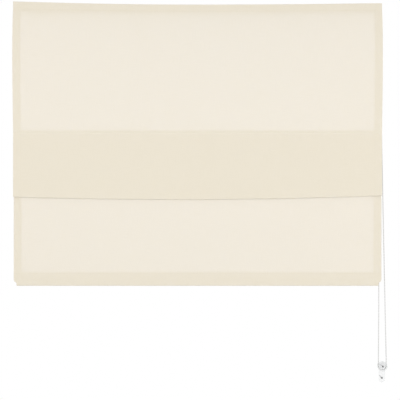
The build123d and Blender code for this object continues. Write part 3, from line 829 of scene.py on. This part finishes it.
tape_seams = [0.0082, 0.0252]
tape_seam_half = 0.66
rod_seam_half = 0.686
hem_seam_half = 0.696
rod_seam = panel_end - 0.0066
panel_lines = side_seams(0.004, panel_end - 0.002)
panel_lines += [cross_seam(tape_seam_half, path) for path in tape_seams]
panel_lines.append(cross_seam(rod_seam_half, rod_seam))
panel_thread = stitches("upper_panel_stitches", panel_rows, panel_depth, panel_lines)
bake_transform(panel_thread)
front_lines = side_seams(panel_end + 0.002, front_end - 0.001)
front_thread = stitches("pleat_front_stitches", front_rows, front_depth, front_lines, front_bow)
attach(front_thread, "upper_rod")
back_lines = side_seams(front_end + 0.001, back_end - 0.003)
back_thread = stitches("pleat_back_stitches", back_rows, back_depth, back_lines, back_bow)
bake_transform(back_thread)
hem_seam = bottom_path - 0.0445
hem_edge = skirt_rows[-3][4]
skirt_lines = side_seams(back_end + 0.003, hem_seam - 0.004)
skirt_lines += [cross_seam(hem_seam_half, path) for path in (hem_seam, hem_edge)]
skirt_thread = stitches("lower_panel_stitches", skirt_rows, skirt_depth, skirt_lines)
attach(skirt_thread, "lift_rod")

# Rod pockets: woven white tape, folded round each rod and sewn to the back of the cloth. The tape's
# two edges stand up from the upper rod, and point down from the lift rod.
white_tape = woven_material("white_tape", (0.72, 0.72, 0.69), (0.8, 0.8, 0.77), 1500.0, 0.5)
rod_y = -0.0333
pocket_half = 0.688
pocket_radius = 0.00295
pocket_swell = 0.025
pocket_columns = 150


def rod_pocket(name, node, body, z, profile):
    """A tape along X from its section in metres about the rod's centre, with a soft unevenness."""
    bm = bmesh.new()
    steps = len(profile) - 1
    bmesh.ops.create_grid(bm, x_segments=pocket_columns, y_segments=steps, size=0.5)
    reach = [0.0]
    for a, b in zip(profile, profile[1:]):
        reach.append(reach[-1] + math.dist(a, b))
    flat = {}
    for vertex in bm.verts:
        x = vertex.co.x * 2 * pocket_half
        j = round((vertex.co.y + 0.5) * steps)
        swell = 1 + pocket_swell * noise.noise(Vector((x * 30, j * 0.4, z * 10)))
        flat[vertex.index] = (x, reach[j])
        vertex.co = (x, rod_y + profile[j][0] * swell, z + profile[j][1] * swell)
    lay_uv(bm, flat)
    tape = finished(name, bm, white_tape)
    thicken(tape, strip_thickness)
    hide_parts(node)
    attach(tape, body)


upper_section = [(-0.00325, 0.0074), (-0.00325, 0.0048), (-0.00322, 0.0022)]
upper_section += turn_line(0.0, 0.0, pocket_radius, 175, 475, 20)
upper_section += [(-0.0025, 0.0038), (-0.0027, 0.0052), (-0.0027, 0.0074)]
lift_section = [(-0.00025, -0.0037), *turn_line(0.0, 0.0, pocket_radius, 263, -83, 24), (0.00025, -0.0037)]
rod_pocket("upper_rod_pocket", "pocket_tape_upper", "upper_rod", upper_rod_z, upper_section)
rod_pocket("lift_rod_pocket", "pocket_tape_lift", "lift_rod", lift_rod_z, lift_section)

# Touch tapes: white woven hook tape stuck along the rail's front, and loop tape sewn along the back
# of the cloth's top edge. Both have a dense nap and slightly uneven edges. The nap's colour is
# darker where it sits lower: painted shade between its loops.
tape_steps = 140
tape_waver = 0.00025
tape_rounding = 0.0004
for name, node, label, loops_per_metre in (
    ("loop_tape_nap", "loop_tape", "loop_nap", 5200.0),
    ("hook_tape_nap", "hook_tape", "hook_nap", 2600.0),
):
    nap_material, tree, shader = new_material(label)
    place = add_node(tree, "ShaderNodeTexCoord").outputs["Object"]
    grain = add_node(
        tree, "ShaderNodeGroup", {"Vector": place, "Size": 1.0 / loops_per_metre}, node_tree=surface_grain
    )
    # Colour follows the nap's height, darker where it is lower: painted shade between the loops.
    set_colour(tree, shader, grain.outputs["Height"], (0.6, 0.6, 0.58), (0.85, 0.85, 0.83))
    set_relief(tree, shader, grain.outputs["Height"], 0.9, 0.0004)
    set_values(shader, Roughness=0.85, Sheen_Weight=0.3)
    low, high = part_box(node)
    centre, size = (low + high) / 2, high - low
    bm = bmesh.new()
    bmesh.ops.create_cube(bm, size=1.0, matrix=Matrix.Translation(centre) @ Matrix.Diagonal((*size, 1)))
    long_edges = [edge for edge in bm.edges if abs(edge.verts[0].co.x - edge.verts[1].co.x) > 0.1]
    bmesh.ops.subdivide_edges(bm, edges=long_edges, cuts=tape_steps)
    for vertex in bm.verts:
        if abs(vertex.co.x - centre.x) < size.x / 2 - 0.001:
            vertex.co.z += tape_waver * noise.noise(Vector((vertex.co.x * 60, vertex.co.z * 20, size.x)))
    rim = [edge for edge in bm.edges if edge.is_manifold and edge.calc_face_angle(0) > 1.0]
    bmesh.ops.bevel(bm, geom=rim, offset=tape_rounding, segments=2, affect="EDGES", profile=0.5, material=-1)
    tape = finished(name, bm, nap_material)
    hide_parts(node)
    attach(tape, "root")


# Headrail: extruded aluminium channel in white powder coat, with a slot under each lift cord. The
# brackets' clamp levers hold it, and it carries the shaft, the cradles and the clutch.
def dress(material, *names):
    """Gives CAD nodes their finish."""
    for name in names:
        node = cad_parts[name]
        if not node.material_slots:
            node.data.materials.append(material)
        for place in node.material_slots:
            place.material = material


rail_coat = grained_material(
    "white_powder_coat", (0.83, 0.83, 0.82), (0.79, 0.79, 0.775), 0.42, 0.00045, 0.25,
    Coat_Weight=0.15, Coat_Roughness=0.3,
)
dress(rail_coat, "headrail")

# Brackets: folded galvanised steel, each with two screw holes in its back plate. The steel shows
# the zinc's spangle and fine rolling marks.
zinc_steel, tree, shader = new_material("galvanised_steel")
place = add_node(tree, "ShaderNodeTexCoord").outputs["Object"]
spangle = add_node(tree, "ShaderNodeTexVoronoi", {"Vector": place, "Scale": 260.0})
patch = add_node(tree, "ShaderNodeSeparateColor", {0: spangle.outputs["Color"]})
long_way = add_node(tree, "ShaderNodeMapping", {"Vector": place, "Scale": (30.0, 900.0, 900.0)})
rolled = noise_of(tree, long_way.outputs[0], Scale=1.0, Detail=3.0)
set_colour(tree, shader, patch.outputs[0], (0.5, 0.51, 0.53), (0.64, 0.65, 0.66))
tree.links.new(remap(tree, patch.outputs[1], low=0.32, high=0.5), shader.inputs["Roughness"])
set_relief(tree, shader, rolled, 0.15, 0.0001)
set_values(shader, Metallic=1.0)
dress(zinc_steel, "bracket_left", "bracket_centre", "bracket_right")

# Moulded white parts: end cap, bush, clutch, chain wheel, spools in their cradles, bracket levers,
# cord rings and locks, the chain's connector and the bar's end caps. They have the mould's fine
# spark-eroded grain and a few scuffs.
white_moulding = grained_material(
    "white_moulding", (0.8, 0.8, 0.785), (0.755, 0.755, 0.74), 0.38, 0.0005, 0.12, Specular_IOR_Level=0.5
)
dress(white_moulding, "end_cap_left", "shaft_bush")
dress(white_moulding, "clutch_housing", "clutch_cover", "clutch_core", "chain_wheel")
for number in range(1, 5):
    dress(white_moulding, f"spool_{number}", f"spool_cradle_{number}")
dress(white_moulding, "bracket_lever_left", "bracket_lever_centre", "bracket_lever_right")
dress(white_moulding, "cord_rings_upper", "cord_rings_lift", "cord_locks")
dress(white_moulding, "bottom_bar_cap_left", "bottom_bar_cap_right", "chain_connector")


# Shaft and wrap spring: a bare hexagonal bar and the clutch's wound wire, both of drawn steel, with
# the die's fine lines along X.
def drawn_metal(name, dark, light, roughness, lines):
    """Metal with fine lines along X, from drawing, rolling or extrusion."""
    material, tree, shader = new_material(name)
    place = add_node(tree, "ShaderNodeTexCoord").outputs["Object"]
    along = add_node(tree, "ShaderNodeMapping", {"Vector": place, "Scale": (12.0, lines, lines)})
    marks = noise_of(tree, along.outputs[0], Scale=1.0, Detail=4.0)
    set_colour(tree, shader, marks, dark, light)
    rough = remap(tree, marks, low=roughness - 0.08, high=roughness + 0.1)
    tree.links.new(rough, shader.inputs["Roughness"])
    set_relief(tree, shader, marks, 0.2, 0.0001)
    set_values(shader, Metallic=1.0)
    return material


bare_steel = drawn_metal("drawn_steel", (0.42, 0.42, 0.43), (0.6, 0.6, 0.61), 0.3, 1400.0)
dress(bare_steel, "drive_shaft", "clutch_spring")

# Bottom bar: flat extruded aluminium in mill finish, inside the bottom hem. Its weight keeps the
# cloth straight.
bar_aluminium = drawn_metal("mill_aluminium", (0.66, 0.67, 0.68), (0.8, 0.8, 0.81), 0.35, 900.0)
dress(bar_aluminium, "bottom_bar")

# Rods: pultruded glass fibre rods, off-white and slightly glossy, inside their pockets. They keep
# the cloth straight where the pleat begins and ends.
rod_finish = grained_material(
    "fibre_rod", (0.76, 0.76, 0.71), (0.68, 0.68, 0.63), 0.4, 0.0009, 0.3, Coat_Weight=0.1
)
dress(rod_finish, "rod_upper", "rod_lift")

# Chain holder: a clear moulded base and cover over the chain's loop, with two dark zinc screws
# whose heads show through. The plastic is clearest face on and grows opaque towards its rims as they
# turn from view: painted rim shade and reflection, for the light that the rims bend and reflect.
clear_moulding = grained_material(
    "clear_moulding", (0.8, 0.81, 0.815), (0.73, 0.745, 0.75), 0.08, 0.004, 0.05, scuffs=0.5, IOR=1.49
)
tree = clear_moulding.node_tree
# Opacity rises as the surface turns from view, so the rims show grey: painted rim shade and reflection.
rim = add_node(tree, "ShaderNodeLayerWeight", {"Blend": 0.35})
cover = remap(tree, rim.outputs["Facing"], low=0.2, high=0.85)
tree.links.new(cover, tree.nodes["Principled BSDF"].inputs["Alpha"])
dress(clear_moulding, "holder_base", "holder_cover")
screw_zinc = drawn_metal("dark_zinc", (0.2, 0.2, 0.205), (0.32, 0.32, 0.325), 0.36, 700.0)
dress(screw_zinc, "holder_screws")

# Floor, light and background: a plain pale floor below the view, an even white surround, which
# is seen brighter than it lights, and soft lamps in front of the cloth and behind it.
floor_place = Matrix.Translation((0, -0.9, -2.15)) @ Matrix.Diagonal((2.4, 1.9, 1, 1))
bm = bmesh.new()
bmesh.ops.create_grid(bm, x_segments=1, y_segments=1, size=1.0, matrix=floor_place)
floor_material = grained_material("floor", (0.8, 0.8, 0.79), (0.76, 0.76, 0.75), 0.6, 0.004, 0.05)
floor = finished("floor", bm, floor_material, smooth=False)

world = bpy.data.worlds.new("surround")
world.use_nodes = True
scene.world = world
tree = world.node_tree
rays = add_node(tree, "ShaderNodeLightPath")
in_view = calc(tree, "ADD", rays.outputs["Is Camera Ray"], rays.outputs["Is Glossy Ray"])
seen = calc(tree, "ADD", in_view, rays.outputs["Is Transmission Ray"], use_clamp=True)
background = tree.nodes["Background"]
background.inputs["Color"].default_value = (1, 1, 1, 1)
tree.links.new(remap(tree, seen, low=0.72, high=1.0), background.inputs["Strength"])

for name, place, aim, size, power in (
    ("lamp_front_left", (-1.5, -2.6, -0.3), (0, 0, -0.6), 2.0, 28.5),
    ("lamp_front_right", (1.8, -2.3, -0.6), (0, 0, -0.7), 1.8, 23.0),
    ("lamp_behind", (0.4, 2.2, 0.4), (0, 0, -0.6), 2.0, 22.0),
):
    lamp_data = bpy.data.lights.new(name, "AREA")
    lamp_data.size = size
    lamp_data.energy = power
    lamp = bpy.data.objects.new(name, lamp_data)
    lamp.location = place
    lamp.rotation_euler = (Vector(aim) - Vector(place)).to_track_quat("-Z", "Y").to_euler()
    scene.collection.objects.link(lamp)
